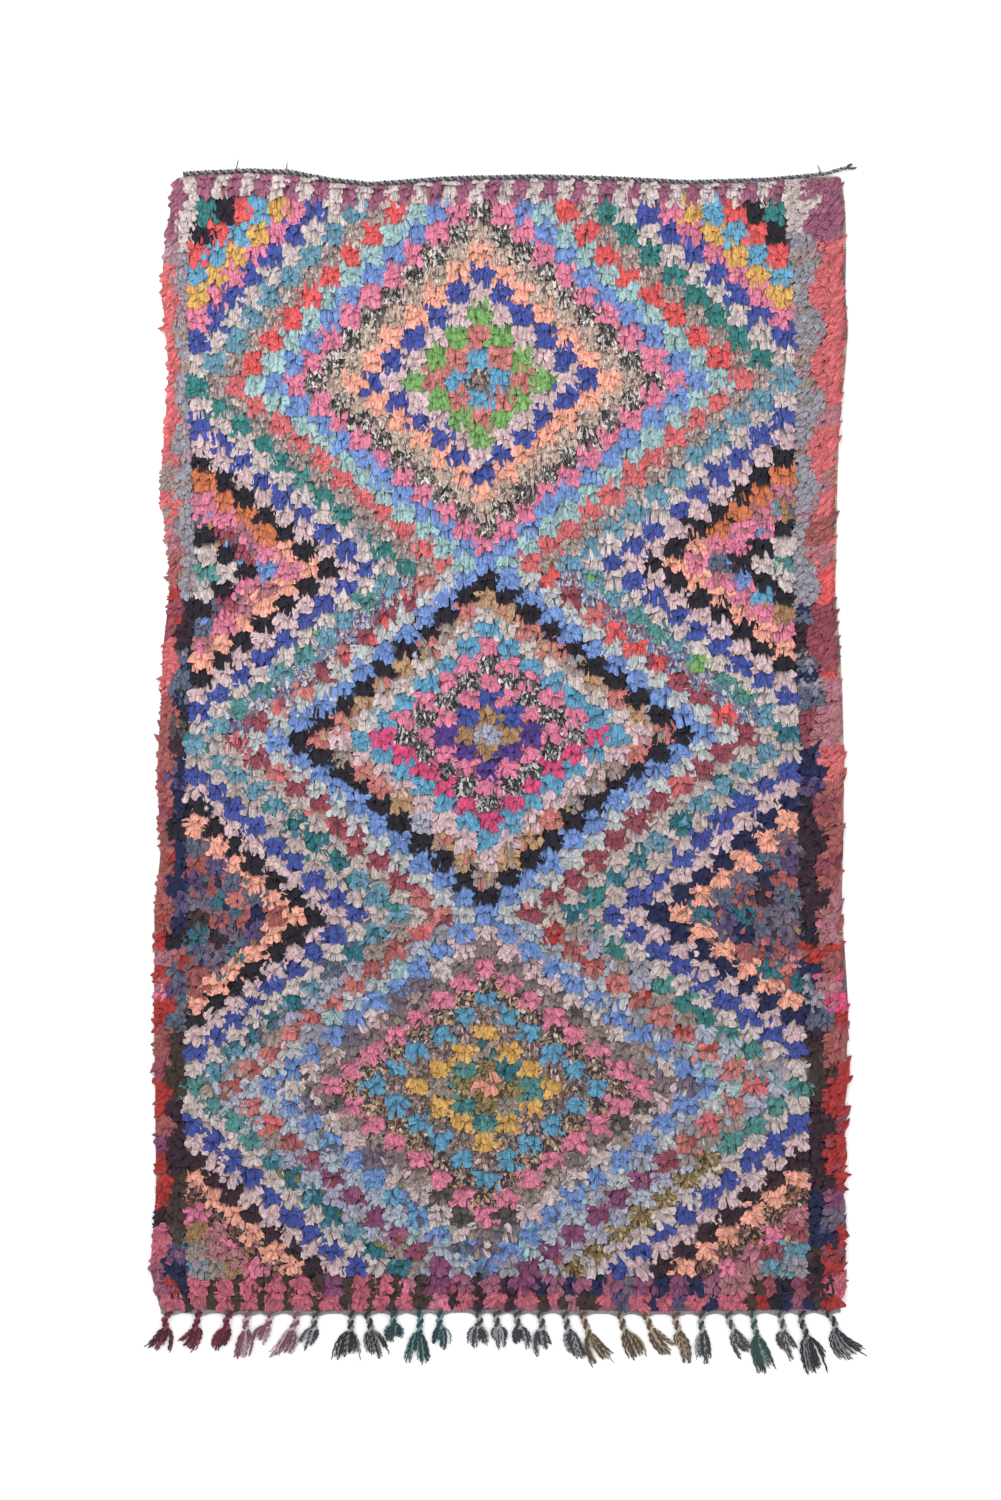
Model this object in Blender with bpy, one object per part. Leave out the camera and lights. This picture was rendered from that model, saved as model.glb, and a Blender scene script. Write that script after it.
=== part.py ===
"""Boucherouite rug, laid flat: a cotton ground with a deep pile of knotted rag strips, a twined cord
along its heading, and a flat-woven end strip whose warps are tied off in tassels.

Metres, +Z up. The rug lies on z = 0 with the heading towards +Y and the tassels towards -Y.
Tables are in millimetres from the middle of the whole rug, tassels included.
"""
import math

import bmesh
import bpy
from mathutils import Vector, noise

NAME = "boucherouite_rug"
MM = 0.001
GAP = 0.0004

GROUND = 0.0036
SELVEDGE_LEFT = 0.007
SELVEDGE_RIGHT = 0.018
BARE_HEADING = 0.006
SHOULDER = 0.014
VALLEY = 0.0138
CREST = 0.0218
HEIGHT_CHANGE = 0.0028
FOOT_OF_PILE = 0.0085

KNOT_COLUMNS = 28
KNOT_ROWS = 46
WANDER = 0.013

CORD_RADIUS = 0.0056
CORD_BEAD = 0.86
CORD_SIDES = 6

STRIP_DEPTH = 0.0137
STRIP_THICKNESS = 0.004

NECK_WIDTH = 0.0085
NECK_HEIGHT = 0.0068
NECK_SHARE = 0.42
YARN_PITCH = 0.0044
YARN_WIDTH = 0.0034
YARN_HEIGHT = 0.003
YARNS_PER_SPREAD = 0.0086

LOCK_HEIGHT = 0.0052
LOCK_ROOT = 0.011

# y, left edge, right edge of the cloth
SIDES = (
    (1280, -706, 718),
    (1248, -717, 725),
    (1205, -722, 730),
    (1119, -735, 731),
    (1033, -740, 729),
    (947, -731, 735),
    (861, -725, 729),
    (775, -731, 717),
    (603, -744, 712),
    (474, -725, 710),
    (388, -723, 708),
    (259, -738, 718),
    (173, -740, 723),
    (1, -750, 727),
    (-171, -742, 725),
    (-300, -756, 721),
    (-386, -755, 728),
    (-515, -757, 736),
    (-687, -754, 730),
    (-902, -752, 726),
    (-1074, -765, 726),
    (-1160, -743, 719),
)

# x, outer edge of the heading cord
HEADING = (
    (-720, 1284),
    (-679, 1289),
    (-550, 1295),
    (-464, 1292),
    (-378, 1275),
    (-292, 1266),
    (-120, 1278),
    (52, 1282),
    (224, 1278),
    (396, 1270),
    (568, 1276),
    (697, 1289),
    (730, 1288),
)

# x, lower edge of the pile
FOOT = (
    (-760, -1158),
    (-420, -1160),
    (-60, -1157),
    (330, -1161),
    (720, -1157),
)

# side, first y or x, last y or x, pitch, reach past the cloth, width
LOCKS = (
    ("left", 1236, -1140, 44, 9, 12),
    ("right", 1225, -260, 62, -8, 11),
    ("right", -300, -1140, 40, 9, 12),
    ("foot", -720, 700, 42, 8, 12),
)

# root x, first and last tip x, length of a tassel
TASSELS = (
    (-722, -772, -720, 80),
    (-656, -705, -662, 80),
    (-591, -634, -602, 75),
    (-553, -583, -553, 95),
    (-505, -544, -520, 64),
    (-449, -510, -467, 88),
    (-408, -447, -413, 75),
    (-333, -370, -316, 97),
    (-299, -296, -252, 92),
    (-239, -256, -226, 58),
    (-189, -219, -168, 108),
    (-140, -161, -125, 75),
    (-60, -82, -43, 73),
    (-17, -28, 0, 77),
    (26, 15, 50, 73),
    (71, 62, 99, 90),
    (129, 134, 172, 95),
    (166, 185, 232, 112),
    (243, 264, 301, 95),
    (299, 331, 366, 84),
    (366, 375, 398, 103),
    (421, 411, 443, 103),
    (479, 499, 531, 95),
    (527, 543, 578, 125),
    (585, 593, 626, 101),
    (636, 645, 690, 131),
    (688, 720, 772, 97),
)

# x and length of the single warps between tassels
STUBS = (
    (200, 24),
    (447, 18),
)

# tip x, tip y and width of the two ends of the heading cord
TAILS = (
    (744, 1304, 7),
    (755, 1295, 6),
)

# colour, roughness
PILE_CLOTH = ((0.42, 0.24, 0.25), 0.95)
CORD_YARN = ((0.11, 0.12, 0.16), 0.9)
FRINGE_YARN = ((0.15, 0.13, 0.14), 0.92)


def along(table, value, column, key=0):
    """One column of a table between its rows, in metres, for a key given in metres."""
    at = value / MM
    rows = sorted(table, key=lambda row: row[key])
    for low, high in zip(rows, rows[1:]):
        if at <= high[key]:
            share = (at - low[key]) / (high[key] - low[key])
            share = max(0.0, share)
            return MM * (low[column] + share * (high[column] - low[column]))
    return MM * rows[-1][column]


def ripple(x, y, scale, seed):
    """A smooth number between -1 and 1 that drifts over the rug."""
    return noise.noise(Vector((x / scale, y / scale, seed)))


def heading_edge(x):
    return along(HEADING, x, 1) - 2 * CORD_RADIUS - GAP


def foot_edge(x):
    return along(FOOT, x, 1)


def line_places(count, near, far):
    """Grid lines as a share of the width and a distance to add to it."""
    bands = [(0.0, 0.0), (0.0, near), (0.0, near + SHOULDER)]
    for step in range(1, count):
        share = step / count
        inset = near + SHOULDER - share * (near + far + 2 * SHOULDER)
        bands.append((share, inset))
    bands += [(1.0, -far - SHOULDER), (1.0, -far), (1.0, 0.0)]
    return bands


def cloth_point(column, row):
    """A grid point on the cloth, from its column and row lines."""
    low, high = MM * -1160, MM * 1280
    guess = low + row[0] * (high - low) + row[1]
    left = along(SIDES, guess, 1)
    right = along(SIDES, guess, 2)
    x = left + column[0] * (right - left) + column[1]
    foot = foot_edge(x)
    y = foot + row[0] * (heading_edge(x) - foot) + row[1]
    return x, y


COLUMNS = line_places(KNOT_COLUMNS, SELVEDGE_LEFT, SELVEDGE_RIGHT)
ROWS = line_places(KNOT_ROWS, 0.0005, BARE_HEADING)


def material(name, finish):
    colour, roughness = finish
    made = bpy.data.materials.new(name)
    made.use_nodes = True
    shader = made.node_tree.nodes["Principled BSDF"]
    shader.inputs["Base Color"].default_value = (*colour, 1.0)
    shader.inputs["Roughness"].default_value = roughness
    shader.inputs["Metallic"].default_value = 0.0
    return made


def place(name, bm, finish, collection):
    """Turn a bmesh into a named object in a collection."""
    bmesh.ops.recalc_face_normals(bm, faces=bm.faces)
    mesh = bpy.data.meshes.new(name)
    bm.to_mesh(mesh)
    bm.free()
    made = bpy.data.objects.new(name, mesh)
    mesh.materials.append(material(name, finish))
    collection.objects.link(made)
    return made


def loft(bm, sections):
    """Skin a row of closed sections with the same number of points, and cap both ends."""
    rings = [[bm.verts.new(point) for point in section] for section in sections]
    for before, after in zip(rings, rings[1:]):
        for here in range(len(before)):
            there = (here + 1) % len(before)
            bm.faces.new((before[here], before[there], after[there], after[here]))
    bm.faces.new(reversed(rings[0]))
    bm.faces.new(rings[-1])


def across(path, index):
    """The level direction at right angles to a path."""
    before = path[max(index - 1, 0)]
    after = path[min(index + 1, len(path) - 1)]
    way = (after - before).normalized()
    return Vector((-way.y, way.x, 0.0))


def ribbon(bm, path, widths, heights, sides):
    """A strand that lies on the path: 3 sides is a yarn, 4 a rag strip, 6 a wrapped neck."""
    shapes = {
        3: ((-0.5, 0.0), (0.5, 0.0), (0.0, 1.0)),
        4: ((-0.5, 0.0), (0.5, 0.0), (0.34, 1.0), (-0.34, 1.0)),
        6: ((-0.32, 0.0), (0.32, 0.0), (0.5, 0.45), (0.3, 1.0), (-0.3, 1.0), (-0.5, 0.45)),
    }
    sections = []
    for index, point in enumerate(path):
        side = across(path, index)
        section = []
        for sideways, up in shapes[sides]:
            lift = Vector((0.0, 0.0, up * heights[index]))
            section.append(point + side * (sideways * widths[index]) + lift)
        sections.append(section)
    loft(bm, sections)


def fuse(base, bm, name, finish, tools):
    """Join a mesh of overlapping strands to a base, as one solid."""
    tool = place(name, bm, finish, tools)
    tool.hide_render = True
    tool.display_type = "WIRE"
    joined = base.modifiers.new("fused " + name, "BOOLEAN")
    joined.operation = "UNION"
    joined.solver = "EXACT"
    joined.use_self = True
    joined.object = tool


def pile_height(x, y, reach, level):
    """The top of the cloth: the thin ground at its rim, the lumpy pile inside."""
    full = level + HEIGHT_CHANGE * ripple(x, y, 0.11, 3.0)
    return GROUND + (full - GROUND) * min(1.0, reach / SHOULDER)


def make_pile(parts, tools):
    bm = bmesh.new()
    bmesh.ops.create_grid(
        bm, x_segments=len(COLUMNS) - 1, y_segments=len(ROWS) - 1, size=0.5
    )
    inner = []
    for vert in bm.verts:
        column = round((vert.co.x + 0.5) * (len(COLUMNS) - 1))
        row = round((vert.co.y + 0.5) * (len(ROWS) - 1))
        x, y = cloth_point(COLUMNS[column], ROWS[row])
        steps = (column - 1, len(COLUMNS) - 2 - column, row - 1, len(ROWS) - 2 - row)
        if min(steps) > 1:
            x += WANDER * ripple(x, y, 0.05, 7.0)
            y += WANDER * ripple(x, y, 0.05, 11.0)
        reach = SHOULDER * max(0, min(steps))
        z = pile_height(x, y, reach, VALLEY)
        if row == 0 and 0 < column < len(COLUMNS) - 1:
            z = FOOT_OF_PILE
        vert.co = (x, y, z)
        if min(steps) >= 1:
            inner.append(vert)
    inner = set(inner)
    tufts = [face for face in bm.faces if all(vert in inner for vert in face.verts)]
    for vert in bmesh.ops.poke(bm, faces=tufts)["verts"]:
        vert.co.z = pile_height(vert.co.x, vert.co.y, SHOULDER, CREST)
    rim = [edge for edge in bm.edges if edge.is_boundary]
    skirt = bmesh.ops.extrude_edge_only(bm, edges=rim)["geom"]
    for vert in skirt:
        if isinstance(vert, bmesh.types.BMVert):
            vert.co.z = 0.0
    under = [edge for edge in bm.edges if edge.is_boundary]
    bmesh.ops.holes_fill(bm, edges=under, sides=0)
    pile = place("rug_pile", bm, PILE_CLOTH, parts)
    fuse(pile, rim_locks(), "rim_locks", PILE_CLOTH, tools)
    return pile


def rim_locks():
    """Rag ends that hang past the rim: on the floor at the sides, over the end strip at the foot."""
    bm = bmesh.new()
    for side, first, last, pitch, reach, width in LOCKS:
        count = int(abs(last - first) / pitch) + 1
        for step in range(count):
            here = MM * (first + (last - first) * step / (count - 1))
            drift = ripple(here, reach, 0.017, 5.0)
            spread = ripple(here, reach, 0.013, 9.0)
            lean = MM * 9 * drift
            out = MM * reach + MM * 4 * spread
            wide = MM * width * (1.0 + 0.35 * drift)
            if side == "foot":
                edge = foot_edge(here)
                level = STRIP_THICKNESS + 0.0012
                root = Vector((here, edge + LOCK_ROOT, level))
                lip = Vector((here + 0.5 * lean, edge + 0.001, level))
                tip = Vector((here + lean, edge - out, level))
            else:
                sign = -1 if side == "left" else 1
                edge = along(SIDES, here, 1 if side == "left" else 2)
                level = 0.0 if reach > 0 else GROUND - 0.001
                if reach < 0:
                    edge -= SELVEDGE_RIGHT
                    out = 0.009 + MM * 3 * spread
                root = Vector((edge - sign * LOCK_ROOT, here, level + 0.0012))
                lip = Vector((edge + sign * 0.001, here - abs(lean) * 0.4, level))
                tip = Vector((edge + sign * out, here - abs(lean), level))
            ribbon(bm, (root, lip, tip), (wide, wide, 0.62 * wide),
                   (LOCK_HEIGHT, LOCK_HEIGHT, 0.6 * LOCK_HEIGHT), 4)
    return bm


def heading_path():
    """Points down the middle of the heading cord, two beads to each column of the cloth."""
    edge = [cloth_point(column, ROWS[-1]) for column in COLUMNS]
    path = []
    for (x0, y0), (x1, y1) in zip(edge, edge[1:]):
        parts = 3 if x1 - x0 > 0.03 else 1
        for step in range(parts):
            share = step / parts
            path.append(Vector((x0 + share * (x1 - x0), y0 + share * (y1 - y0), 0.0)))
    path.append(Vector((*edge[-1], 0.0)))
    offset = Vector((0.0, GAP + CORD_RADIUS, 0.0))
    return [point + offset for point in path]


def make_heading_cord(parts, tools):
    """The cord that twines the warps together at the heading, with its two loose ends."""
    path = heading_path()
    shape = []
    for side in range(CORD_SIDES):
        turn = 2 * math.pi * (side + 0.5) / CORD_SIDES
        widest = math.cos(math.pi / CORD_SIDES)
        shape.append((math.cos(turn) / widest, math.sin(turn)))
    floor = min(up for _, up in shape)
    bm = bmesh.new()
    sections = []
    for index, point in enumerate(path):
        bead = 1.0 if index % 2 else CORD_BEAD
        radius = CORD_RADIUS * bead
        section = []
        for out, up in shape:
            lift = radius * up - CORD_RADIUS * floor
            if up < floor + 0.01:
                lift = 0.0
            section.append(point + Vector((0.0, radius * out, lift)))
        sections.append(section)
    loft(bm, sections)
    cord = place("heading_cord", bm, CORD_YARN, parts)
    ends = bmesh.new()
    start = path[-1] + Vector((-0.006, 0.0, 0.001))
    for tip_x, tip_y, width in TAILS:
        tip = Vector((MM * tip_x, MM * tip_y, 0.0))
        bend = start + Vector((0.012, 0.0005 * (tip_y - 1294), -0.001))
        thick = MM * width
        ribbon(ends, (start, bend, tip), (thick, thick, 0.6 * thick),
               (0.7 * thick, 0.8 * thick, 0.5 * thick), 4)
    fuse(cord, ends, "cord_tails", CORD_YARN, tools)
    return cord


def tassel(bm, root_x, first, last, length):
    """A wrapped neck that opens into yarns spread from the first tip to the last."""
    strip = foot_edge(root_x) - GAP
    edge = strip - STRIP_DEPTH
    count = max(3, round((last - first) * MM / YARNS_PER_SPREAD))
    middle = 0.5 * (first + last) * MM
    root = Vector((root_x, strip - 0.005, 0.0009))
    lip = Vector((root_x, edge - 0.001, 0.0))
    reach = MM * length
    end = Vector((root_x + NECK_SHARE * (middle - root_x), edge - NECK_SHARE * reach, 0.0))
    waist = lip.lerp(end, 0.6)
    flare = max(NECK_WIDTH, count * YARN_PITCH)
    ribbon(bm, (root, lip, waist, end), (0.6 * NECK_WIDTH, NECK_WIDTH, NECK_WIDTH, flare),
           (0.0024, NECK_HEIGHT, NECK_HEIGHT, 0.8 * NECK_HEIGHT), 6)
    way = (end - lip).normalized()
    side = Vector((-way.y, way.x, 0.0))
    for yarn in range(count):
        share = yarn / (count - 1)
        spot = (share - 0.5) * (count - 1) * YARN_PITCH
        hang = 0.86 + 0.14 * math.sin(2.4 * yarn + root_x * 50)
        tip = Vector((MM * (first + 1.5 + share * (last - first - 3)), edge - hang * reach, 0.0))
        begin = end + side * spot * 0.8 - way * 0.004
        begin.z = 0.0009
        leave = end + side * spot + way * 0.001
        bend = leave.lerp(tip, 0.5) + Vector((0.0012 * math.sin(root_x * 90), 0.0, 0.0))
        ribbon(bm, (begin, leave, bend, tip), (YARN_WIDTH, YARN_WIDTH, YARN_WIDTH, 0.0018),
               (YARN_HEIGHT, YARN_HEIGHT, YARN_HEIGHT, 0.0018), 3)


def make_fringe(parts, tools):
    """The flat-woven end strip, parted from the cloth by a hair, with its knotted warps."""
    edge = [cloth_point(column, ROWS[0]) for column in COLUMNS]
    bm = bmesh.new()
    sections = []
    for x, y in edge:
        top = y - GAP
        sections.append([
            Vector((x, top, 0.0)),
            Vector((x, top, STRIP_THICKNESS)),
            Vector((x, top - STRIP_DEPTH, STRIP_THICKNESS)),
            Vector((x, top - STRIP_DEPTH, 0.0)),
        ])
    loft(bm, sections)
    strip = place("fringe", bm, FRINGE_YARN, parts)
    yarns = bmesh.new()
    for root, first, last, length in TASSELS:
        tassel(yarns, MM * root, first, last, length)
    for root, length in STUBS:
        low = foot_edge(MM * root) - GAP - STRIP_DEPTH
        root_at = Vector((MM * root, low + 0.006, 0.0009))
        lip = Vector((MM * root, low - 0.001, 0.0))
        tip = Vector((MM * root + 0.003, low - MM * length, 0.0))
        ribbon(yarns, (root_at, lip, tip), (0.003, 0.0034, 0.002), (0.002, 0.003, 0.002), 3)
    fuse(strip, yarns, "tassels", FRINGE_YARN, tools)
    return strip


def main():
    for old in list(bpy.data.objects):
        bpy.data.objects.remove(old)
    parts = bpy.data.collections.new(NAME)
    tools = bpy.data.collections.new("fused_in")
    bpy.context.scene.collection.children.link(parts)
    bpy.context.scene.collection.children.link(tools)
    make_pile(parts, tools)
    make_heading_cord(parts, tools)
    make_fringe(parts, tools)


main()
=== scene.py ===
# %% [markdown]
# # A boucherouite rug, seen from straight above
# A boucherouite is a rag rug: a cotton ground is woven on a loom, and torn strips of old clothes are knotted
# into it row by row, so that their ends stand up as a deep, uneven pile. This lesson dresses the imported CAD
# model of one such rug: three stepped diamonds, one above the other, in rings of plain dyed rags. The solids
# stay in the scene as its fixed frame, and every piece made here takes its place from them.

# %% Load the frame and keep its box
import math
import bmesh
import bpy
import numpy as np
from mathutils import Matrix, Vector, noise


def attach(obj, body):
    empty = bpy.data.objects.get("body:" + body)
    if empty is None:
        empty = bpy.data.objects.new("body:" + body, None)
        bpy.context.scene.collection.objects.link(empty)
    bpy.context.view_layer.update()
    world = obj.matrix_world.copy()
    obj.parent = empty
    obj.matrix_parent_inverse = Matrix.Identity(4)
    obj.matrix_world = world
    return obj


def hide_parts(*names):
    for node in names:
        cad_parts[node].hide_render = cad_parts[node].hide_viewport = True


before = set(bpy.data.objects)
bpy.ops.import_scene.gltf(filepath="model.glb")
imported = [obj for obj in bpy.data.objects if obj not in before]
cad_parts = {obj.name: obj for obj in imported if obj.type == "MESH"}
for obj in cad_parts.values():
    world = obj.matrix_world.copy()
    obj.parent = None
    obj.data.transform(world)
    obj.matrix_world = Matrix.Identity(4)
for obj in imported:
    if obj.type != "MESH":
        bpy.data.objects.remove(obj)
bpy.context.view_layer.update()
MM = 0.001
# how far cloth and yarn keep off the floor
CLEAR = 0.0002
rng = np.random.default_rng(7)
print("nodes:", sorted(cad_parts))

# %% [markdown]
# ## A few helpers
# Colours are written as the sRGB hex values one would read off cloth in daylight, and one function turns
# them into the linear values that shaders count in. Another adds a shader node with its settings and links,
# so that a material reads as a short list of what it is made of. The last turns finished bmesh work into an
# object at the origin.

# %% Colour, node and mesh helpers
def linear(hex_colour):
    """An sRGB hex value as linear red, green and blue."""
    parts = [int(hex_colour[i:i + 2], 16) / 255 for i in (1, 3, 5)]
    return [c / 12.92 if c <= 0.04045 else ((c + 0.055) / 1.055) ** 2.4 for c in parts]


def add(tree, kind, settings=()):
    """One shader node. A setting is a property, or a socket's value, hex colour or the output that feeds it."""
    made = tree.nodes.new("ShaderNode" + kind)
    for key, value in dict(settings).items():
        if isinstance(key, str) and hasattr(made, key):
            setattr(made, key, value)
        elif isinstance(value, bpy.types.NodeSocket):
            tree.links.new(value, made.inputs[key])
        else:
            hex_colour = isinstance(value, str) and value.startswith("#")
            made.inputs[key].default_value = (*linear(value), 1) if hex_colour else value
    return made


def new_material(name, roughness, sheen=0.0):
    """A material with an empty Principled shader, and its tree."""
    made = bpy.data.materials.new(name)
    made.use_nodes = True
    shader = made.node_tree.nodes["Principled BSDF"]
    shader.inputs["Roughness"].default_value = roughness
    shader.inputs["Sheen Weight"].default_value = sheen
    shader.inputs["Sheen Roughness"].default_value = 0.6
    shader.inputs["Specular IOR Level"].default_value = 0.25
    return made, made.node_tree, shader


def object_from(name, bm):
    """An object in the scene made from bmesh work, which ends here."""
    mesh = bpy.data.meshes.new(name)
    bm.to_mesh(mesh)
    bm.free()
    made = bpy.data.objects.new(name, mesh)
    bpy.context.collection.objects.link(made)
    return made


print("royal blue in linear values:", [round(c, 3) for c in linear("#4A57AE")])

# %% [markdown]
# ## Floor, light and camera
# A rug is photographed from straight above on a white sweep, under light that comes evenly from all round
# with a little more from the top left, so that the pile's creases still show. A long lens keeps the sides
# parallel. One pixel of the photo is 2.15 mm on the rug, which sets how much floor the frame holds.

# %% Floor, light and camera
PIXEL = 2.15 * MM
PHOTO = (1001, 1500)
# where the rug's middle lies in the photo, in pixels
RUG_MIDDLE = (506, 770.5)
# millimetres
LENS, SENSOR = 110.0, 36

bm = bmesh.new()
bmesh.ops.create_grid(bm, x_segments=1, y_segments=1, size=6.0)
floor = object_from("studio_floor", bm)
floor.location.z = -0.0004
paper, tree, shader = new_material("white_paper_sweep", 0.9)
shader.inputs["Base Color"].default_value = (0.93, 0.93, 0.93, 1)
floor.data.materials.append(paper)

world = bpy.data.worlds.new("soft_studio")
world.use_nodes = True
world.node_tree.nodes["Background"].inputs["Color"].default_value = (1.0, 0.99, 0.98, 1)
world.node_tree.nodes["Background"].inputs["Strength"].default_value = 1.1
bpy.context.scene.world = world


def soft_box(name, place, size, watts):
    """A square area light that looks at the middle of the rug."""
    lamp = bpy.data.lights.new(name, "AREA")
    lamp.size = size
    lamp.energy = watts
    made = bpy.data.objects.new(name, lamp)
    made.location = place
    made.rotation_euler = (-Vector(place)).to_track_quat("-Z", "Y").to_euler()
    bpy.context.collection.objects.link(made)


soft_box("key_soft_box", (-2.2, 2.6, 3.2), 2.6, 100)
soft_box("fill_soft_box", (2.8, -1.2, 3.0), 2.6, 32)

lens = bpy.data.cameras.new("photo_camera")
lens.lens = LENS
lens.sensor_fit = "AUTO"
camera = bpy.data.objects.new("photo_camera", lens)
camera.location = ((PHOTO[0] / 2 - RUG_MIDDLE[0]) * PIXEL, (RUG_MIDDLE[1] - PHOTO[1] / 2) * PIXEL,
                   PHOTO[1] * PIXEL * LENS / SENSOR)
bpy.context.collection.objects.link(camera)
bpy.context.scene.camera = camera
bpy.context.scene.view_settings.view_transform = "Standard"
print("camera height in metres:", round(camera.location.z, 2))

# %% [markdown]
# ## The dye pot
# The rags were T-shirts, dresses and sheets, so each colour is one plain cotton or jersey, a little faded.
# Every colour gets its own material. The first value is the cloth, the second is what flecks it: the pale
# wrong side of a print, a heathered yarn or lint, with the share of it that shows.

# %% Rag colours
# name, cloth, fleck and the share that it shows
RAG_TABLE = """
royal #4453A1 #34418A 0.3
cornflower #6F8FCB #91A6D1 0.25
sky #65A4C7 #83B5CD 0.2
turquoise #64A0C2 #4985A7 0.25
muted_teal #6493AA #8AA5B4 0.3
sea_green #558E8C #417576 0.35
petrol #2D6A78 #3D8390 0.3
bottle #387F7E #296367 0.35
leaf #79AA64 #619350 0.25
mint #9CBCBE #B5C8CE 0.3
pale_mint #BFC0C3 #ABAFB4 0.3
pale_slate #B0B6C7 #9AA2B6 0.35
cream #CDBEBC #BBA8A5 0.25
greige #C1B1AE #AB9999 0.35
shell #D3B8BC #C2A1A8 0.3
peach #F1AC97 #E39482 0.25
orange #D07850 #B26448 0.35
pink #DD819D #CD698A 0.25
orchid #DF80A0 #CE6B91 0.3
magenta #D9507F #C04172 0.3
scarlet #DE5B5C #CD4D51 0.25
coral #D36D71 #C45E65 0.25
terracotta #C87B77 #B66869 0.3
brick #A45D5C #92504D 0.3
dusty_rose #B07680 #9D636C 0.3
dusty_mauve #AB8793 #977480 0.3
maroon #964A59 #823E4D 0.3
plum #884A72 #713A60 0.3
mauve #9D5F7A #884E66 0.3
yellow #DBAB62 #CB9C51 0.2
ochre #A8825E #926E4D 0.3
tan #BB9574 #A98265 0.3
purple #533C8B #402D70 0.3
navy #1B244F #131C3D 0.3
black #1F1B28 #15111B 0.3
umber #37202F #281824 0.35
charcoal #524E4D #3D393A 0.35
taupe #A3918B #82716C 0.4
grey #9B97A2 #898691 0.3
slate #60677C #50576B 0.35
lilac #ABABC0 #9393AD 0.35
grape #76697C #605367 0.4
olive #817B48 #6B6538 0.35
salmon #E39C86 #CC8672 0.3
rose #C86A7E #B2566A 0.3
deep_red #B03432 #962C2C 0.3
smoke #867678 #6C5E62 0.35
violet #5C4C78 #4A3C62 0.35
bark #43342F #352A26 0.35
"""
RAGS = {}
for line in RAG_TABLE.split("\n")[1:-1]:
    name, cloth, fleck, share = line.split()
    RAGS[name] = (cloth, fleck, float(share))
print(len(RAGS), "rag colours")

# %% [markdown]
# Some rings were knotted from a printed or marled cloth, which reads as a speckle of small flakes from above.
# A print lists four colours and the share of the cloth that each takes.

# %% Printed rags
PRINTS = {
    "speckle": ("#4C4446 3", "#9E877B 3", "#C3A495 2", "#6B6774 2"),
    "beige_marl": ("#C7AFA1 5", "#AB958A 4", "#695D5D 1", "#D5C5BC 2"),
    "charcoal_marl": ("#2D2A2D 4", "#8A807C 2", "#D3CCC6 3", "#585354 3"),
    "black_white": ("#2D2B2F 4", "#D3D0CC 2", "#89848C 2", "#535057 2"),
    "grey_marl": ("#AD9995 5", "#93827E 3", "#C6B6B1 2", "#7C7272 2"),
    "flag_marl": ("#BCBAC0 4", "#5B76AF 3", "#864A5D 2", "#8A8C93 3"),
    "dark_marl": ("#403238 4", "#8E7476 3", "#BC9567 2", "#D2C4B6 1"),
    "pepper": ("#312A2B 4", "#805557 3", "#AB7651 2", "#C9B2AB 1"),
    "mauve_marl": ("#776567 4", "#9B867E 3", "#D2B2AF 1", "#53484A 2"),
    "olive_marl": ("#84764E 4", "#9F8457 3", "#4E4038 2", "#BEAD90 1"),
}
print(len(PRINTS), "printed rags")

# %% [markdown]
# ## How the rags are mixed in a knot block
# Most blocks of the pattern are one rag. Others were knotted from whatever lay at hand. A mix names its
# rags with how often each was taken, and how fine they were torn. One rag of the mix makes up most of a
# block.

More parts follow.
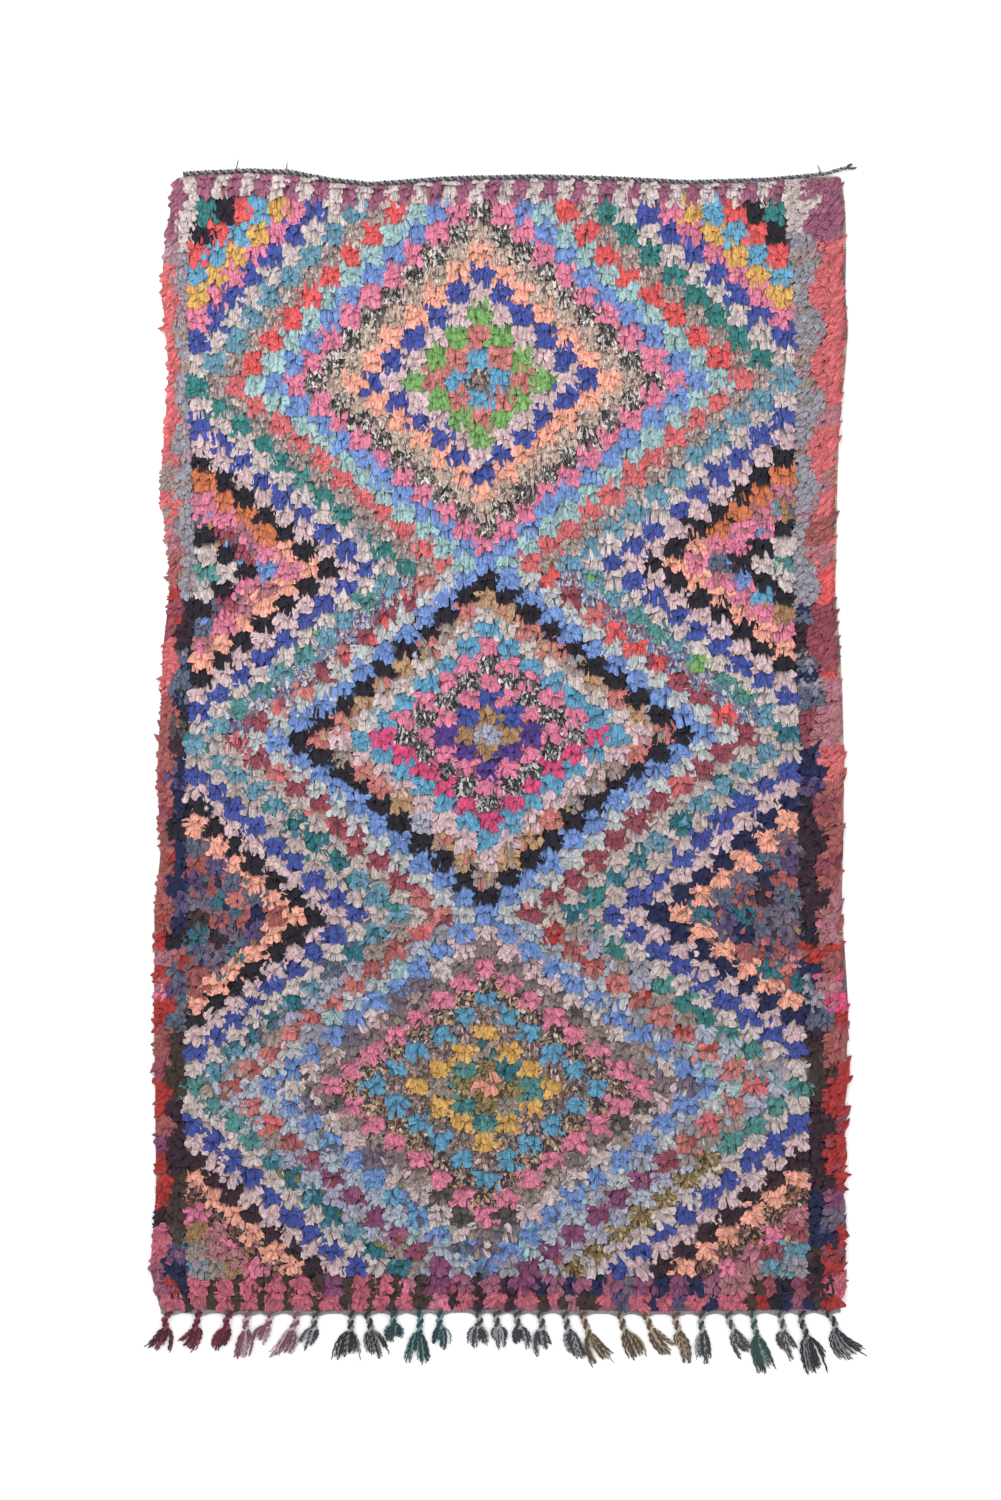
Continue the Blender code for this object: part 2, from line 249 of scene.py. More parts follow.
# %% Mixes of rags
# name, how fine the rags are torn, and each rag with how often it is taken
MIX_TABLE = """
tan_mix 0.9 tan 3, terracotta 2, lilac 1, taupe 2
lime_bottle 0.9 bottle 4, sea_green 2, grey 2, leaf 0.6
teal_lime 0.9 sea_green 3, muted_teal 3, leaf 0.4
teal_bottle 0.9 muted_teal 3, petrol 2, bottle 1
brick_mix 0.95 maroon 5, terracotta 2, scarlet 1
low_brick 0.95 terracotta 2, maroon 4, coral 1
scraps 0.8 turquoise 1, orchid 2, ochre 2, slate 1, cornflower 1, maroon 1
rose_mix 0.9 orchid 1, pink 2, dusty_rose 2
dusk 0.85 grape 3, slate 3, violet 2, brick 2, bark 1, petrol 1, ochre 0.5
dusk_hot 0.9 violet 3, navy 2, brick 2, terracotta 1, grape 2
ember 0.85 slate 3, violet 2, umber 2, brick 2, petrol 0.5
green_teal 0.85 petrol 3, sea_green 3, taupe 2
grey_grape 0.85 smoke 5, charcoal 1, taupe 1
pale_mix 0.9 cream 3, shell 2, taupe 1, grape 1
blue_slate 0.9 cornflower 5, slate 1, sky 1
sky_mint 0.9 pale_slate 3, pale_mint 2, grey 2, mint 1
plum_mix 0.95 plum 3, mauve 1, maroon 1
lilac_mix 0.9 lilac 3, pale_slate 2, taupe 2
petrol_mix 0.9 petrol 2, muted_teal 3, slate 1
ochre_mix 0.9 ochre 2, tan 1, dusty_rose 2, maroon 1
ash 0.85 grey 4, muted_teal 2, taupe 1
rust 1.0 terracotta 3, brick 2, coral 1
brick_low 1.0 brick 4, maroon 1
plum_brick 1.0 brick 3, plum 1, grape 1
red_brick 1.0 deep_red 3, brick 2, maroon 1
brown_red 1.0 deep_red 3, maroon 2, umber 1
old_rose 1.0 dusty_rose 3, pink 1, brick 1
soot 0.95 umber 5, black 2, charcoal 1
ink 1.0 navy 5, black 1, violet 1
slate_mix 0.9 slate 4, navy 1, grey 1
olive_teal 0.9 petrol 3, muted_teal 2, olive 1
grey_mix 0.95 grey 6, taupe 1, dusty_mauve 1
faded_coral 0.95 coral 3, dusty_rose 2, taupe 1
violet_slate 0.95 slate 2, violet 3, mauve 1
wing_slate 0.95 slate 4, grape 1, violet 1, petrol 1
wing_grape 0.95 grape 3, slate 2, violet 3, terracotta 1
dusk_ash 0.9 bark 2, slate 3, grape 2, grey 1
fired 0.95 terracotta 3, deep_red 1, brick 2
burnt 1.0 brick 5, deep_red 3
magenta_mix 1.0 dusty_rose 4, magenta 1
"""
MIXES = {}
for line in MIX_TABLE.split("\n")[1:-1]:
    name, fineness, mix = line.split(" ", 2)
    MIXES[name] = (mix, float(fineness))


def rags_of(name):
    """The rags of a block, their shares and how fine they are torn."""
    if name in RAGS or name in PRINTS:
        return [name], [1.0], 1.0 if name in RAGS else 0.85
    text, fineness = MIXES[name]
    pairs = [part.split() for part in text.split(", ")]
    counts = np.array([float(count) for _, count in pairs])
    return [rag for rag, _ in pairs], list(counts / counts.sum()), fineness


CLOTHS = list(RAGS) + list(PRINTS)
print(len(MIXES), "mixes, such as", rags_of("rust"))

# %% [markdown]
# ## The diamonds
# The pattern is counted, not drawn. A block lies in the ring that its column and row give: steps across
# from the middle column plus steps up or down from the medallion's middle row. So each medallion needs only
# its middle row and a list of ring colours from the middle outwards. In a list, "above^below" changes rag at
# the medallion's middle row, "left|right" at its middle column, and "first/then" after row 52, where the
# first rag ran out.

# %% The chart of rings
HALF_FIELD = 14
LAST_ROW_OF_FIRST_RAG = 52
# rings 0 to 16 around each middle row
RINGS = {
    9: "speckle sky terracotta leaf shell royal peach beige_marl charcoal_marl pink cornflower mint scarlet^coral "
       "grey_marl muted_teal|bottle^lime_bottle|muted_teal cream royal",
    29: "lilac_mix ochre royal^purple pink^orchid black_white pink^magenta turquoise cream^shell tan_mix black "
        "cornflower pale_mint brick_mix^low_brick flag_marl^greige teal_lime^teal_bottle cream^greige royal",
    49: "salmon olive_marl green_teal yellow mauve_marl turquoise dark_marl pink grey_grape pale_mix "
        "cornflower^blue_slate sky_mint rust|fired^rust/plum_mix lilac_mix "
        "petrol_mix|lime_bottle^sea_green/olive_teal|sea_green/olive_marl cream royal",
}
# rings 17 to 24, which fill the corners and wings, and the row before which each list ends
CORNERS = (
    (9, "pink yellow sky scarlet black bottle cream cream"),
    (18, "shell black orange rose_mix scraps black cream sea_green"),
    (29, "shell black peach rose_mix scraps black cream sea_green"),
    (50, "shell black|navy peach dusk dusk_hot ember dusk dusk_ash"),
    (60, "shell umber peach pepper rose_mix ochre_mix ash ash"),
)


def field_rag(column, row):
    """What a block of the field is knotted from."""
    middle = min(RINGS, key=lambda m: abs(row - m))
    names = RINGS[middle] + " " + next(names for end, names in CORNERS if row < end)
    name = names.split()[abs(column) + abs(row - middle)]
    half = name.split("^")[0 if row < middle else -1]
    side = half.split("|")[0 if column < 0 else -1]
    return side.split("/")[0 if row <= LAST_ROW_OF_FIRST_RAG else -1]


for row in (1, 9, 19, 29):
    print("row", row, [field_rag(column, row) for column in range(0, 15, 2)])

# %% [markdown]
# ## Where each knot sits
# A hand-beaten rug isn't square: its rows are packed tighter in the middle than at the top, and the field
# leans a little. The same edge tables that shape the solid give the rug's rim here, and a second short
# table says where some rows lie, with the field's left side, middle and right side. Rows and columns in
# between follow in even steps, and a slow wander takes the ruler out of them.

# %% The cloth's edges and the knots' places
SIDES = (
    (1280, -706, 718), (1248, -717, 725), (1205, -722, 730), (1119, -735, 731), (1033, -740, 729),
    (947, -731, 735), (861, -725, 729), (775, -731, 717), (603, -744, 712), (474, -725, 710),
    (388, -723, 708), (259, -738, 718), (173, -740, 723), (1, -750, 727), (-171, -742, 725),
    (-300, -756, 721), (-386, -755, 728), (-515, -757, 736), (-687, -754, 730), (-902, -752, 726),
    (-1074, -765, 726), (-1160, -743, 719),
)
HEADING = (
    (-720, 1284), (-679, 1289), (-550, 1295), (-464, 1292), (-378, 1275), (-292, 1266), (-120, 1278),
    (52, 1282), (224, 1278), (396, 1270), (568, 1276), (697, 1289), (730, 1288),
)
FOOT = ((-760, -1158), (-420, -1160), (-60, -1157), (330, -1161), (720, -1157))
# the foot's mean y, and the cloth's length
FOOT_Y, LENGTH = -1160, 2440
# row, its y
ROW_PLACES = (
    (0, 1233), (1, 1193), (3, 1102), (6, 973), (9, 833), (12, 708), (15, 590), (18, 476), (21, 367), (24, 259),
    (27, 152), (30, 35), (33, -72), (36, -197), (39, -313), (42, -427), (45, -532), (48, -644), (51, -762),
    (54, -880), (57, -999), (59, -1070), (61, -1142),
)
# row, the field's left side, middle and right side
FIELD = (
    (1, -662, -52, 598), (3, -680, -56, 606), (9, -679, -60, 621), (19, -664, -43, 615), (29, -688, -37, 628),
    (39, -679, -41, 626), (49, -688, -41, 649), (59, -684, -45, 645),
)

# row, how much lower the far left lies than the middle, how far the left wing's columns bulge outwards
LEFT_WING = (
    (1, 0, 20), (5, 6, 20), (8, 12, 16), (11, 17, 0), (17, 15, 0), (23, 27, 0), (26, 33, 0), (31, 15, 4),
    (35, 12, 18), (42, 9, 20), (51, -2, 20), (57, 0, 20), (60, 0, 10),
)


def along(table, at, column):
    """One column of a table, in metres, between its rows. The first column is the key, in millimetres."""
    rows = sorted(table)
    return MM * float(np.interp(at, [r[0] for r in rows], [r[column] for r in rows]))


def wander(x, y, scale, seed):
    return noise.noise(Vector((x / scale, y / scale, seed)))


def knot_place(column, row):
    """The middle of a block of the field, and its width and length, in metres."""
    y = along(ROW_PLACES, row, 1)
    left, middle, right = (along(FIELD, row, c) for c in (1, 2, 3))
    pitch = (middle - left if column < 0 else right - middle) / (HALF_FIELD + 0.5)
    x = middle + column * pitch
    if column < 0:
        out = -column / (HALF_FIELD + 0.5)
        y -= along(LEFT_WING, row, 1) * out
        x -= along(LEFT_WING, row, 2) * 4 * out * (1 - out)
    deep = along(ROW_PLACES, row - 0.5, 1) - along(ROW_PLACES, row + 0.5, 1)
    x += 0.005 * wander(x, y, 0.16, 2.0) + rng.normal(0, 0.0018)
    y += 0.004 * wander(x, y, 0.19, 5.0) + rng.normal(0, 0.0018)
    return x, y, pitch * rng.uniform(1.0, 1.22), deep * rng.uniform(0.98, 1.16)


print("block at the first medallion's middle, in mm:", [round(v / MM) for v in knot_place(0, 9)])

# %% [markdown]
# ## The border
# Both sides have an inner strip and an outer strip, knotted without any pattern: the weaver changed rags
# when one ran out. Each strip is a run of names with the row at which it starts. Where the two strips meet
# they bite into each other in teeth, small ones on the left and broad ones on the right.

# %% The border's runs
BORDER = {
    "outer_left":
        "mauve -9, dusty_mauve 2, coral 3, faded_coral 13, brick 18, red_brick 19, maroon 21, coral 23.5, "
        "brick 26, brick_low 31, burnt 35, brick_low 37, burnt 38, magenta_mix 40.5, deep_red 41.5, "
        "old_rose 42.5, deep_red 43.5, brick_low 45.5, deep_red 48.5, burnt 50.5, plum_mix 51.5, deep_red 53, "
        "brick 55, umber 55.6, rose 56.3, deep_red 58, plum_mix 59, deep_red 60",
    "inner_left":
        "cream -9, grey_mix 3, soot 20.5, slate_mix 23, soot 27, ink 30, wing_grape 37, ink 39, bark 40, "
        "burnt 40.6, wing_slate 41.5, bark 45.5, umber 50, bark 54, soot 56, violet_slate 57.5, ink 58.6",
    "inner_right":
        "cream -9, grey_mix 1.5, slate_mix 21, soot 22.5, slate_mix 24, maroon 27, ink 30, soot 34, ink 39, "
        "burnt 40.5, ink 41.5, slate_mix 43, soot 45.5, bark 47, umber 50, ink 54.8, bark 57.6, soot 58.4",
    "outer_right":
        "mauve -9, coral 3, faded_coral 9.5, coral 11.5, faded_coral 13.5, brick 16, faded_coral 17.5, "
        "scarlet 19, maroon 21, scarlet 25, dusty_rose 26, coral 29.5, brick_low 32, old_rose 37, burnt 40.2, "
        "deep_red 42.5, magenta_mix 43, deep_red 44.2, plum_brick 45.1, brick_low 46.2, deep_red 47.8, "
        "brown_red 50.9, deep_red 53, plum_mix 54.6, wing_grape 56.1, deep_red 57.1, brown_red 58, ink 59, "
        "rose 59.4",
}
# the rows of each side's teeth, and how far they bite
TEETH = {
    "left": (-2, 0, 3, 5, 8, 10.5, 13, 15, 17.5, 21, 24, 27, 30, 32.5, 35.5, 38.5, 41, 44, 46.5, 49.5, 51, 54,
             57.5, 60),
    "right": (-2, 0, 3, 6.5, 10, 14.5, 20, 26.5, 31.5, 35, 38, 41, 45, 48, 51, 54, 57, 60),
}
BITE = {"left": 0.012, "right": 0.020}
# row, how much of the selvedge is bare at the right
BARE = ((0, 16), (9, 16), (11, 8), (13, 16), (26, 16), (29, 9), (45, 9), (48, 1), (62, 1))
# which way each strip's ends lean, in radians from straight down
LEAN = {"outer_left": -0.75, "inner_left": 0.15, "inner_right": -0.75, "outer_right": -0.85}
# above this row a strip has a block for each half row, below it larger ones: how fine torn, how long, how
# far a change of rag strays in rows
LUMPS_FROM = 27
SMALL_BLOCKS, LUMPS = (0.8, 0.022, 1.4), (0.95, 0.044, 0.4)
# half rows, from the corner above the field to the foot, and the highest place of a side block
HALF_ROWS = range(-3, 121)
TOP_OF_SIDES = 1.256


def border_rag(strip, row):
    """What a border strip is knotted from at a row."""
    runs = [part.split() for part in BORDER[strip].split(", ")]
    return [rag for rag, start in runs if row >= float(start)][-1]


def tooth(side, row):
    """How far the two strips of a side bite into each other at a row, from -1 to 1."""
    tips = TEETH[side]
    spots = sorted(list(tips) + [0.5 * (a + b) for a, b in zip(tips, tips[1:])])
    return float(np.interp(row, spots, [1 if spot in tips else -1 for spot in spots]))


blocks = []


def add_block(rag, x, y, wide, deep, row, torn=1.0, lean=0.0):
    """Notes a block: its rag, middle and size, how fine its rags are torn, and which way they lean."""
    blocks.append((rag, x, y, wide, deep, row, torn, lean))


for row in range(1, 60):
    for column in range(-HALF_FIELD, HALF_FIELD + 1):
        add_block(field_rag(column, row), *knot_place(column, row), row)
field_blocks = len(blocks)
for half in HALF_ROWS:
    row = half / 2
    if row > LUMPS_FROM and half % 2:
        continue
    torn, deep, stray = SMALL_BLOCKS if row < LUMPS_FROM else LUMPS
    y = min(along(ROW_PLACES, row, 1) + (0.0 if row > 0 else -0.040 * row), TOP_OF_SIDES)
    left = along(SIDES, y / MM, 1) + 0.002
    right = along(SIDES, y / MM, 2) - along(BARE, row, 1)
    field_left, field_right = along(FIELD, row, 1) - 0.004, along(FIELD, row, 3) + 0.004
    seam_left = 0.5 * (left + field_left) - 0.002 + BITE["left"] * tooth("left", row)
    seam_right = 0.5 * (right + field_right) + BITE["right"] * tooth("right", row)
    for strip, near, far in (
        ("outer_left", left, seam_left), ("inner_left", seam_left, field_left),
        ("inner_right", field_right, seam_right), ("outer_right", seam_right, right),
    ):
        step = wander(0.5 * (near + far), y, 0.05, 9.0) * stray
        sag = along(LEFT_WING, row, 1) if "left" in strip else 0.0
        add_block(border_rag(strip, row + step), 0.5 * (near + far), y - sag - 0.006, far - near, deep, row,
                  torn, LEAN[strip])
print(field_blocks, "field blocks and", len(blocks) - field_blocks, "border blocks at the sides")

# %% [markdown]
# The head and the foot are rows of narrow blocks. The head's are all of one width, cream and mauve by turns,
# three knots deep. The foot has two rows, and each lists its rags with their widths in millimetres.

# %% Head and foot of the border
HEAD_PITCH, HEAD_LEVEL = 0.0307, 0.019
HEAD_LEFT, HEAD_WIDTH = -0.655, 1.33
LEFT_BARS = "rose 42, bark 14, rose 42, bark 16, rose 38, bark 18, rose 40, bark 16, rose 48, bark 16, "
FOOT_RUN = (
    "rose 52, bark 14, " + LEFT_BARS + "rose 46, bark 22, rose 44, bark 10, rose 32, bark 20, rose 32, bark 42, "
    "rose_mix 44, umber 18, rose 40, umber 22, rose 46, umber 24, rose 50, bark 20, rose 30, bark 14, "
    "dusty_rose 26, bark 44, rose 34, violet_slate 32, rose 48, ink 16, rose 40, violet_slate 28, rose 44, "
    "ink 22, rose 26, rose 44, bark 22, deep_red 28, black 30, ink 22, plum_mix 24, ink 24, bark 14, deep_red 46"
)
FOOT_ABOVE = (
    "deep_red 40, umber 26, " + LEFT_BARS + "plum_mix 46, bark 22, rose 44, bark 10, rose 32, bark 20, "
    "rose_mix 32, bark 24, plum_mix 60, mauve 40, umber 22, mauve 46, umber 24, plum_mix 50, ink 22, mauve 40, "
    "ink 22, mauve 36, ink 26, plum_mix 40, wing_slate 30, plum_mix 46, ink 34, plum_mix 42, ink 34, mauve 34, "
    "dusty_rose 78, bark 20, plum_mix 28, ink 30, plum_mix 42, umber 24, rose 46"
)
# each row's run, how far above the foot it lies, and how long its blocks are
FOOT_ROWS = ((FOOT_RUN, 0.015, 0.034), (FOOT_ABOVE, 0.049, 0.038))

for step in range(int(HEAD_WIDTH / HEAD_PITCH)):
    x = HEAD_LEFT + (step + 0.5) * HEAD_PITCH
    top = along(HEADING, x / MM, 1) - 0.019
    for level in (0, 1, 2):
        y = top - HEAD_LEVEL * level
        shift = 0.006 * wander(x, y, 0.03, 4.0) - 0.004 * level
        add_block("cream" if step % 2 else "mauve", x + shift, y, HEAD_PITCH, HEAD_LEVEL, 0)
left, right = along(SIDES, FOOT_Y, 1), along(SIDES, FOOT_Y, 2)
for run, up, deep in FOOT_ROWS:
    bars = [part.split() for part in run.split(", ")]
    stretch = (right - left) / sum(int(wide) for _, wide in bars)
    x = left
    for rag, wide in bars:
        wide = int(wide) * stretch
        x += wide
        add_block(rag, x - wide / 2, along(FOOT, x / MM, 1) + up, wide * 1.1, deep, 60)
print(len(blocks), "blocks in all")

# %% [markdown]
# ## One rag end
# A rag end is a torn strip of cloth that comes up gathered out of its knot, opens out and lies on the ends
# below it. It is modelled once, from a six-sided cone: its point is the knot, two cuts across give it joints
# to bend at, and its corners are pressed into two folds with a thin edge at either side. A few such ends,
# each folded and torn in its own way, are enough, because every copy is bent and turned differently.

# %% Shape the rag ends
# the two folds' heights, their places, the edges' heights, how far the tip stands back at its four corners
RAG_FORMS = (
    ((0.24, -0.12), (-0.20, 0.17), (0.00, 0.10), (0.12, 0.02, 0.07, 0.03)),
    ((-0.12, 0.22), (-0.15, 0.22), (0.10, -0.06), (0.03, 0.09, 0.00, 0.12)),
    ((0.20, 0.18), (-0.22, 0.20), (-0.10, -0.08), (0.10, 0.00, 0.03, 0.09)),
    ((-0.15, -0.12), (-0.20, 0.16), (0.15, 0.18), (0.00, 0.08, 0.05, 0.02)),
    ((0.28, 0.04), (-0.10, 0.25), (0.02, 0.18), (0.14, 0.03, 0.00, 0.06)),
    ((0.06, 0.26), (-0.26, 0.10), (0.14, -0.12), (0.02, 0.00, 0.10, 0.16)),
)
# where the two cuts lie, how wide the end is at its knot, its cuts and its tip, half its thickness
CUTS = (0.34, 0.70)
SPREAD = (0.0, 0.84, 1.0, 0.90)
SHEET = 0.06


def end_map(points, faces, rounds):
    """Lays an end out flat in a unit square: its six sides next to each other, the tip's cut above them."""
    corners = []
    for face in faces:
        ring = sorted({int(rounds[v]) for v in face} - {-1})
        side = 5 if ring == [0, 5] else ring[0]
        for v in face:
            if len(ring) == 6:
                turn = math.pi / 3 * rounds[v]
                corners.append((0.5 - 0.45 * math.cos(turn), 0.96 + 0.03 * math.sin(turn)))
            else:
                step = 0.5 if rounds[v] < 0 else (rounds[v] - side) % 6
                corners.append(((side + step) / 6, -0.9 * points[v][1] if points[v][1] > -0.71 else 0.9))
    return np.array(corners)


def rag_end(folds, places, edges, setbacks):
    """A rag end of unit length along -Y and unit width: points, faces and the corners of its flat map."""
    bm = bmesh.new()
    bmesh.ops.create_cone(bm, cap_ends=True, segments=6, radius1=0.0, radius2=0.5, depth=1.0)
    bmesh.ops.remove_doubles(bm, verts=bm.verts, dist=1e-4)
    for axis in "ZX":
        bmesh.ops.rotate(bm, cent=(0, 0, 0), matrix=Matrix.Rotation(math.pi / 2, 3, axis), verts=bm.verts)
    bmesh.ops.translate(bm, vec=(0, -0.5, 0), verts=bm.verts)
    for cut in CUTS:
        whole = bm.verts[:] + bm.edges[:] + bm.faces[:]
        bmesh.ops.bisect_plane(bm, geom=whole, plane_co=(0, -cut, 0), plane_no=(0, 1, 0))
    across = (-0.5, *places, 0.5, *places[::-1])
    heights = (edges[0], folds[0] + SHEET, folds[1] + SHEET, edges[1], folds[1] - SHEET, folds[0] - SHEET)
    back = (*setbacks, setbacks[2], setbacks[1])
    bm.verts.index_update()
    rounds = np.full(len(bm.verts), -1)
    for vert in bm.verts:
        run = -vert.co.y
        if run < 0.01:
            continue
        corner = round(math.atan2(vert.co.z, -vert.co.x) / (math.pi / 3)) % 6
        rounds[vert.index] = corner
        vert.co.x = across[corner] * np.interp(run, (0, *CUTS, 1), SPREAD)
        vert.co.z = heights[corner] * (1.3 - 0.5 * run)
        if run > 0.99:
            vert.co.y += back[corner]
    bmesh.ops.recalc_face_normals(bm, faces=bm.faces)
    points = np.array([v.co[:] for v in bm.verts])
    faces = [[v.index for v in face.verts] for face in bm.faces]
    bm.free()
    return points, faces, end_map(points, faces, rounds)


forms = [rag_end(*form) for form in RAG_FORMS]
ONE_END = sum(len(face) - 2 for face in forms[0][1])
print("a rag end has", len(forms[0][0]), "points and", ONE_END, "triangles")

# %% [markdown]
# ## Knot the ends into their blocks
# Each block takes four ends across and two or three along, or more if its rags are torn fine. An end is
# rooted a little above where it shows, leans towards the foot of the rug as pile does, and fans out at the
# block's sides. Towards the foot the pile was trodden every way, so many ends there point outwards from
# their block's middle like the petals of a flower. Near the rim the ends have nothing to lie on, so they fall
# towards the floor.

# %% Lay out every rag end
# a whole rag end's width and length, and the room it takes across and along its block
WIDE, LONG = 0.0150, 0.046
ACROSS, DOWN = 0.0122, 0.0165
# how near the rim the ends start to fall
RIM = 0.032
# the row at which the trodden pile starts, and in how many rows it gets fully so
TRODDEN_FROM, TRODDEN_OVER = 16, 26
# the share of a block's ends that come from its main rag without a choice
MAIN_SHARE = 0.75
ends = []
for rag, x, y, wide, deep, row, torn, lean in blocks:
    rags, shares, fineness = rags_of(rag)
    crumple = min(1.0, max(0.0, (row - TRODDEN_FROM) / TRODDEN_OVER))
    fineness *= torn * (1 + 0.08 * crumple)
    most = rng.choice(len(rags), p=shares)
    across = max(2, round(wide / (ACROSS * fineness)))
    down = max(1, round(deep / (DOWN * fineness)))
    for i in range(across):
        for j in range(down):
            u = (i + 0.5 + rng.uniform(-0.4, 0.4)) / across - 0.5
            v = (j + 0.85 + rng.uniform(-0.4, 0.4)) / down - 0.5
            turn = lean + rng.normal(0.0, 0.12 + 0.2 * crumple) + u * (0.45 + 0.9 * crumple)
            if rng.uniform() < 0.05 + 0.35 * crumple:
                turn = math.atan2(u, v + 0.15) + rng.normal(0.0, 0.25)
            size = rng.uniform(0.85, 1.1) * (0.6 + 0.4 * fineness) * (1 - 0.12 * crumple)
            tip = (x + u * wide, y - v * deep)
            room = along(HEADING, tip[0] / MM, 1) - 0.010 - tip[1]
            pick = most if rng.uniform() < MAIN_SHARE else rng.choice(len(rags), p=shares)
            inside = min(tip[0] - along(SIDES, tip[1] / MM, 1), along(SIDES, tip[1] / MM, 2) - tip[0],
                         tip[1] - along(FOOT, tip[0] / MM, 1))
            ends.append((
                CLOTHS.index(rags[pick]), *tip, turn,
                fineness * rng.uniform(0.9, 1.2) * (1.08 - 0.08 * crumple), min(size, max(room, 0.012) / LONG),
                rng.normal() + 0.7 * (1 - 4 * u * u), rng.uniform(0, 1), min(1.0, max(0.0, 1 - inside / RIM)),
            ))
ends = np.array(ends)
print(len(ends), "rag ends,", len(ends) * ONE_END, "triangles")

# %% [markdown]
# ## Join the ends of each colour into one piece
# Twenty thousand objects would choke any scene, so all ends of one colour become a single mesh. Arrays do
# the copying: the points of one form are bent, turned and moved for all its copies at once. Each copy also
# gets a small square of its own on a second map, OFBake, and a tone: its own lightness, because no two torn
# strips have faded alike, with painted shade towards its knot, where the ends above cover it. The rags'
# colour is also made darker towards the foot of the rug.

# %% Join the ends into meshes
# how far an end rises, and the share of that at its knot, its two cuts and under its tip, which is held up
# by TIP_LIFT or more
RISE = 0.0135
ARCH = (0, 0.52, 0.92, 0)
TIP_LIFT = 0.78
# how high a knot sits, and how far below it an end turns
ROOT = 0.0030
PIVOT = 0.010
# y in metres, and the factor that darkens the rags' colour there, most towards the foot
DARKENING_BY_Y = ((-1.16, -0.7, 0.15, 0.95, 1.3), (0.81, 0.83, 0.93, 0.98, 0.98))


def bend(points, rows):
    """The points of one form for many copies, as an array of copies by points by 3."""
    x, y, turn, fine, size, kick, tone, fall = (rows[:, c][:, None] for c in range(1, 9))
    run = -points[None, :, 1]
    side = points[None, :, 0] * WIDE * fine
    length = LONG * size
    rise = RISE * (1 + 0.09 * kick.clip(-1.8, 1.8)) * (1 - 0.25 * fall)
    chance = tone * 13.7 % 1
    tip_lift = (TIP_LIFT + (1 - TIP_LIFT) * chance) * (1 - 0.75 * fall)
    past_cuts = run > CUTS[1] + 0.01
    lift = ROOT + rise * (np.interp(run, (0, *CUTS, 1), ARCH) + past_cuts * tip_lift)
    lift = lift + points[None, :, 2] * WIDE * fine
    lift = lift + side * 0.18 * np.sin(7 * tone + 3 * kick)
    side = side + 0.003 * np.sin(9 * tone) * run ** 2
    ahead = (run - 1) * length
    px = x + side * np.cos(turn) + (ahead + PIVOT) * np.sin(turn)
    py = y + PIVOT + side * np.sin(turn) - (ahead + PIVOT) * np.cos(turn)
    return np.stack([px, py, np.maximum(lift, 0.0008)], axis=-1)


def packed(arrays, kind=np.float32):
    """A list of arrays as the one flat array that a mesh takes."""
    return np.concatenate([array.ravel() for array in arrays]).astype(kind)


def join(name, rows):
    """One mesh of all the ends in rows, with a bake map, a cloth map and a tone for each point, which holds painted
    shade.
    """
    which = (rows[:, 7] * 997 % 1 * len(forms)).astype(int)
    points, loops, starts, tones_and_root_shade, cloth, baked = [], [], [], [], [], []
    # points and corners so far
    offset, corner = 0, 0
    side = math.ceil(math.sqrt(len(rows)))
    for number, (shape, faces, local) in enumerate(forms):
        cells = np.flatnonzero(which == number)
        mine = rows[cells]
        points.append(bend(shape, mine))
        flat = np.concatenate(faces)
        sizes = np.array([len(f) for f in faces])
        copies = np.arange(len(mine))[:, None]
        loops.append(flat[None] + copies * len(shape) + offset)
        begins = np.concatenate([[0], np.cumsum(sizes)[:-1]])
        starts.append(begins[None] + copies * len(flat) + corner)
        run = -shape[:, 1]
        # painted shade: each end's own random lightness times a darkening towards its knot, 0.75 there, where the
        # ends above cover it
        shade = (0.90 + 0.20 * mine[:, 7][:, None]) * np.interp(run, (0, 0.5, 1), (0.75, 0.97, 1.01))[None]
        # then darker towards the foot of the rug, by y
        tones_and_root_shade.append(shade * np.interp(mine[:, 2], *DARKENING_BY_Y)[:, None])
        real = local * np.array([WIDE * 2, LONG])
        cloth.append(real[None] + mine[:, 1:3][:, None, :] * 7.3)
        cell = np.stack([cells % side, cells // side], axis=-1)[:, None, :]
        baked.append((cell + 0.04 + 0.92 * local[None]) / side)
        offset += len(shape) * len(mine)
        corner += len(flat) * len(mine)
    mesh = bpy.data.meshes.new(name)
    mesh.vertices.add(offset)
    mesh.vertices.foreach_set("co", packed(points))
    mesh.loops.add(corner)
    mesh.loops.foreach_set("vertex_index", packed(loops, np.int32))
    starts = packed(starts, np.int32)
    mesh.polygons.add(len(starts))
    mesh.polygons.foreach_set("loop_start", starts)
    mesh.update(calc_edges=True)
    mesh.uv_layers.new(name="cloth").uv.foreach_set("vector", packed(cloth))
    mesh.uv_layers.new(name="OFBake").uv.foreach_set("vector", packed(baked))
    mesh.attributes.new("tone", "FLOAT", "POINT").data.foreach_set("value", packed(tones_and_root_shade))
    mesh.shade_smooth()
    mesh.set_sharp_from_angle(angle=math.radians(50))
    made = bpy.data.objects.new(name, mesh)
    bpy.context.collection.objects.link(made)
    return made


# %% [markdown]
# ## Torn cotton
# Old jersey and cotton is matt, with a faint bloom of lint at grazing angles. Close to, every strip is
# crumpled: thin creases wander along it, some 7 mm apart, and between them the cloth lies in flat
# facets. Noise that is stretched along the strip gives them, because its middle value draws fine wandering
# lines. The same lines dent the surface and carry painted shade: the colour is darker in the creases.

# %% The rag cloth's material
MULTIPLY = {"data_type": "RGBA", "blend_type": "MULTIPLY", 0: 1.0}


